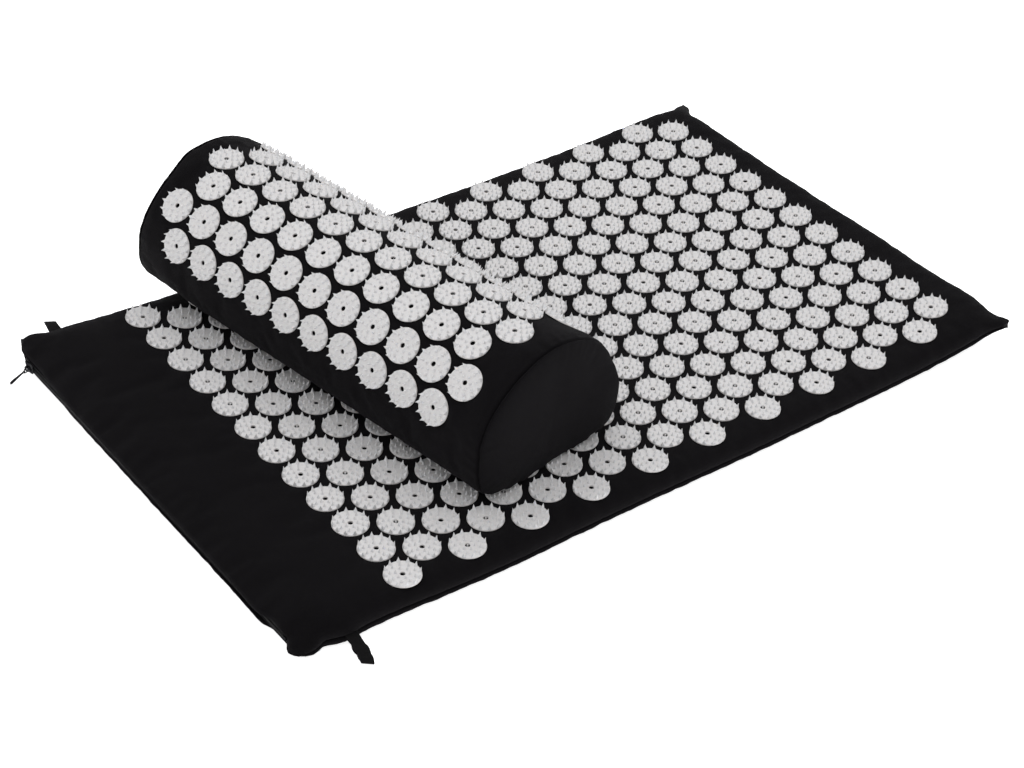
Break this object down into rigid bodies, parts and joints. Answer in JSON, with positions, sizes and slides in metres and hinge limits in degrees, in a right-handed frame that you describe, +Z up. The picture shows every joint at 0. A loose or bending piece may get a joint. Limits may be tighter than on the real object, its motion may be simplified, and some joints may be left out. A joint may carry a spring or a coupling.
{
  "type": "acupressure mat with neck pillow",
  "caption": "Zipped cotton mat over foam with rows of spiked plastic discs, two hanging loops, and a loose half-round neck pillow with the same discs lying across it.",
  "frame": {"origin": "centre of the mat's underside, on the floor", "axes": "+X along the mat's long side, away from the end with the zip; +Y across the mat towards the edge that the pillow's far end overhangs; +Z up"},
  "size_m": [0.6996, 0.4691, 0.1362],
  "materials": {
    "cotton": "black plain-weave cotton with a faint sheen",
    "disc_plastic": "off-white moulded plastic, satin, a little translucent",
    "mat_foam": "open-cell foam sheet",
    "pillow_foam": "open-cell foam block",
    "webbing": "black woven tape",
    "nylon": "black nylon zip coil",
    "nickel": "bright nickel plate",
    "gunmetal": "dark gunmetal plate"
  },
  "bodies": {
    "mat": {"mat_foam_pad": "mat_foam", "mat_cover_top": "cotton", "mat_cover_bottom": "cotton", "mat_zip_tape_upper": "webbing", "mat_zip_tape_lower": "webbing", "mat_zip_teeth": "nylon", "mat_zip_top_stop": "nickel", "mat_zip_bottom_stop": "nickel", "mat_loop_near": "webbing", "mat_loop_far": "webbing", "mat_disc_column_01": "disc_plastic", "mat_disc_column_02": "disc_plastic", "mat_disc_column_03": "disc_plastic", "mat_disc_column_04": "disc_plastic", "mat_disc_column_05": "disc_plastic", "mat_disc_column_06": "disc_plastic", "mat_disc_column_07": "disc_plastic", "mat_disc_column_08": "disc_plastic", "mat_disc_column_09": "disc_plastic", "mat_disc_column_10": "disc_plastic", "mat_disc_column_11": "disc_plastic", "mat_disc_column_12": "disc_plastic", "mat_disc_column_13": "disc_plastic", "mat_disc_column_14": "disc_plastic", "mat_disc_column_15": "disc_plastic", "mat_disc_column_16": "disc_plastic", "mat_disc_column_17": "disc_plastic", "mat_disc_column_18": "disc_plastic", "mat_disc_column_19": "disc_plastic", "mat_disc_column_20": "disc_plastic"},
    "pillow": {"pillow_foam_core": "pillow_foam", "pillow_cover_arch": "cotton", "pillow_cover_base": "cotton", "pillow_cover_end_near": "cotton", "pillow_cover_end_far": "cotton", "pillow_disc_row_a": "disc_plastic", "pillow_disc_row_b": "disc_plastic", "pillow_disc_row_c": "disc_plastic", "pillow_disc_row_d": "disc_plastic", "pillow_disc_row_e": "disc_plastic", "pillow_disc_row_f": "disc_plastic", "pillow_disc_row_g": "disc_plastic", "pillow_zip_tape_upper": "webbing", "pillow_zip_tape_lower": "webbing", "pillow_zip_teeth": "nylon", "pillow_zip_top_stop": "nickel", "pillow_zip_bottom_stop": "nickel"},
    "mat_slider": {"mat_zip_slider": "nickel"},
    "mat_pull": {"mat_zip_pull": "gunmetal"},
    "pillow_slider": {"pillow_zip_slider": "nickel"},
    "pillow_pull": {"pillow_zip_pull": "gunmetal"}
  },
  "joints": [
    {"name": "pillow_lift", "type": "slide", "parent": "mat", "child": "pillow", "axis": [0, 0, 1], "range_m": [0, 0.25]},
    {"name": "mat_zip_slide", "type": "slide", "parent": "mat", "child": "mat_slider", "axis": [0, -1, 0], "range_m": [0, 0.35825]},
    {"name": "mat_zip_pull_swing", "type": "hinge", "parent": "mat_slider", "child": "mat_pull", "pos_m": [-0.3408, 0.18925, 0.009], "axis": [0, 0, 1], "range_deg": [-98, 52]},
    {"name": "pillow_zip_slide", "type": "slide", "parent": "pillow", "child": "pillow_slider", "axis": [-0.1719, 0.9851, 0], "range_m": [0, 0.282]},
    {"name": "pillow_zip_pull_swing", "type": "hinge", "parent": "pillow_slider", "child": "pillow_pull", "pos_m": [-0.02319, -0.08469, 0.04297], "axis": [0.2671, 0.0466, 0.9625], "range_deg": [-98, 52]}
  ]
}
